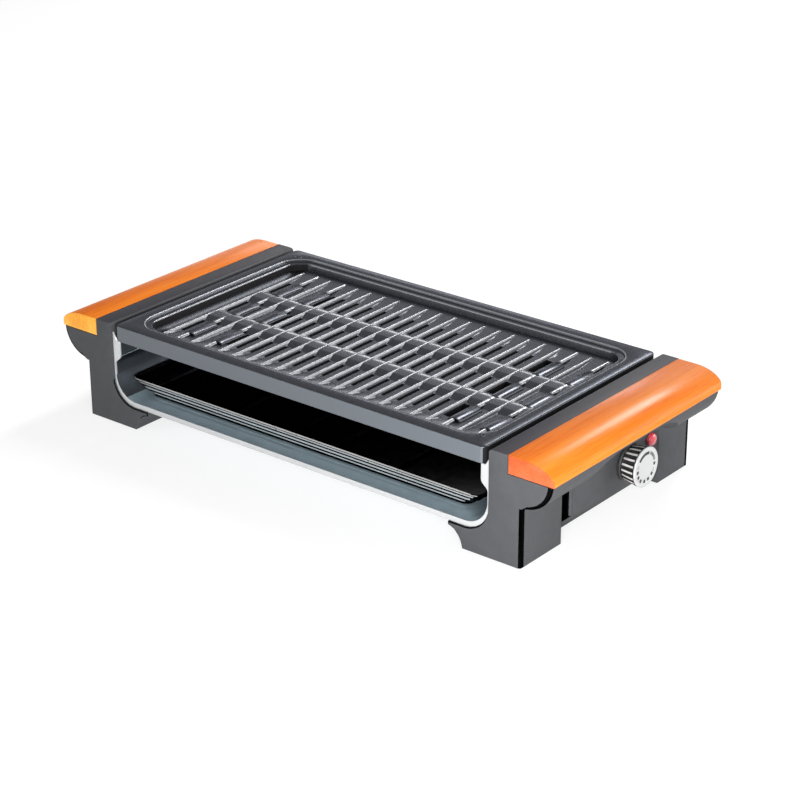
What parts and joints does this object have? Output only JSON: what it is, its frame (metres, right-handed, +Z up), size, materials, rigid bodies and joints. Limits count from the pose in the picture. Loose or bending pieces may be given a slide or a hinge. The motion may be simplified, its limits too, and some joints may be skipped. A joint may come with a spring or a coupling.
{
  "type": "electric table grill",
  "caption": "Electric table grill: ribbed cast plate over a tubular heater, sliding drip tray in a sheet pan, grey end housings with wooden handles and a knob.",
  "frame": {"origin": "on the table under the middle of the grill", "axes": "+X along the length towards the end with the knob, -Y towards the side where the drip tray slides out, +Z up"},
  "size_m": [0.5326, 0.24, 0.0945],
  "materials": {
    "plate": "die-cast, dark grey non-stick coating with a soft gloss",
    "tray_enamel": "black gloss enamel on pressed steel sheet",
    "galvanised_sheet": "blue-grey zinc-coated sheet with a dull shine",
    "heater_tube": "oxidised steel sheath",
    "bright_steel": "plated sheet steel",
    "screws": "plated steel",
    "ceramic": "unglazed white ceramic",
    "housing": "moulded, mid grey, fine satin",
    "covers": "moulded, mid grey, fine satin",
    "wood": "warm orange varnished wood, straight grain",
    "rubber_pads": "matt black",
    "knob": "black, satin, fluted skirt",
    "dial_face": "white face with plain black marks",
    "inner_plastic": "heat-proof cream plastic",
    "lens": "translucent red dome",
    "lamp_glass": "neon indicator bulb",
    "cord_gland": "matt black soft bush"
  },
  "bodies": {
    "base": {"reflector_pan": "galvanised_sheet", "right_heat_shield": "galvanised_sheet", "left_heat_shield": "galvanised_sheet", "heating_element": "heater_tube", "element_bracket": "bright_steel", "element_bracket_screw": "screws", "element_bushing_front": "ceramic", "element_bushing_rear": "ceramic", "right_housing": "housing", "left_housing": "housing", "right_bottom_cover": "covers", "left_bottom_cover": "covers", "right_handle": "wood", "left_handle": "wood", "right_handle_screw_front": "screws", "left_handle_screw_front": "screws", "right_handle_screw_rear": "screws", "left_handle_screw_rear": "screws", "right_pan_screw_front": "screws", "left_pan_screw_front": "screws", "right_pan_screw_rear": "screws", "left_pan_screw_rear": "screws", "right_cover_screw_front": "screws", "right_cover_screw_rear": "screws", "left_cover_screw_front": "screws", "left_cover_screw_rear": "screws", "right_front_foot_pad": "rubber_pads", "right_rear_foot_pad": "rubber_pads", "left_front_foot_pad": "rubber_pads", "left_rear_foot_pad": "rubber_pads", "knob_bezel": "knob", "thermostat_body": "inner_plastic", "thermostat_bracket": "bright_steel", "indicator_lens": "lens", "indicator_lamp": "lamp_glass", "terminal_block": "inner_plastic", "cord_gland": "cord_gland", "thermal_fuse": "ceramic"},
    "plate": {"grill_plate": "plate"},
    "tray": {"drip_tray": "tray_enamel"},
    "knob": {"control_knob": "knob", "knob_dial": "dial_face", "thermostat_shaft": "bright_steel"}
  },
  "joints": [
    {"name": "plate_lift", "type": "slide", "parent": "base", "child": "plate", "axis": [0, 0, 1], "range_m": [0, 0.06]},
    {"name": "tray_slide", "type": "slide", "parent": "base", "child": "tray", "axis": [0, -1, 0], "range_m": [0, 0.215]},
    {"name": "knob_turn", "type": "hinge", "parent": "base", "child": "knob", "pos_m": [0.2345, 0.029, 0.037], "axis": [1, 0, 0], "range_deg": [0, 270]}
  ]
}
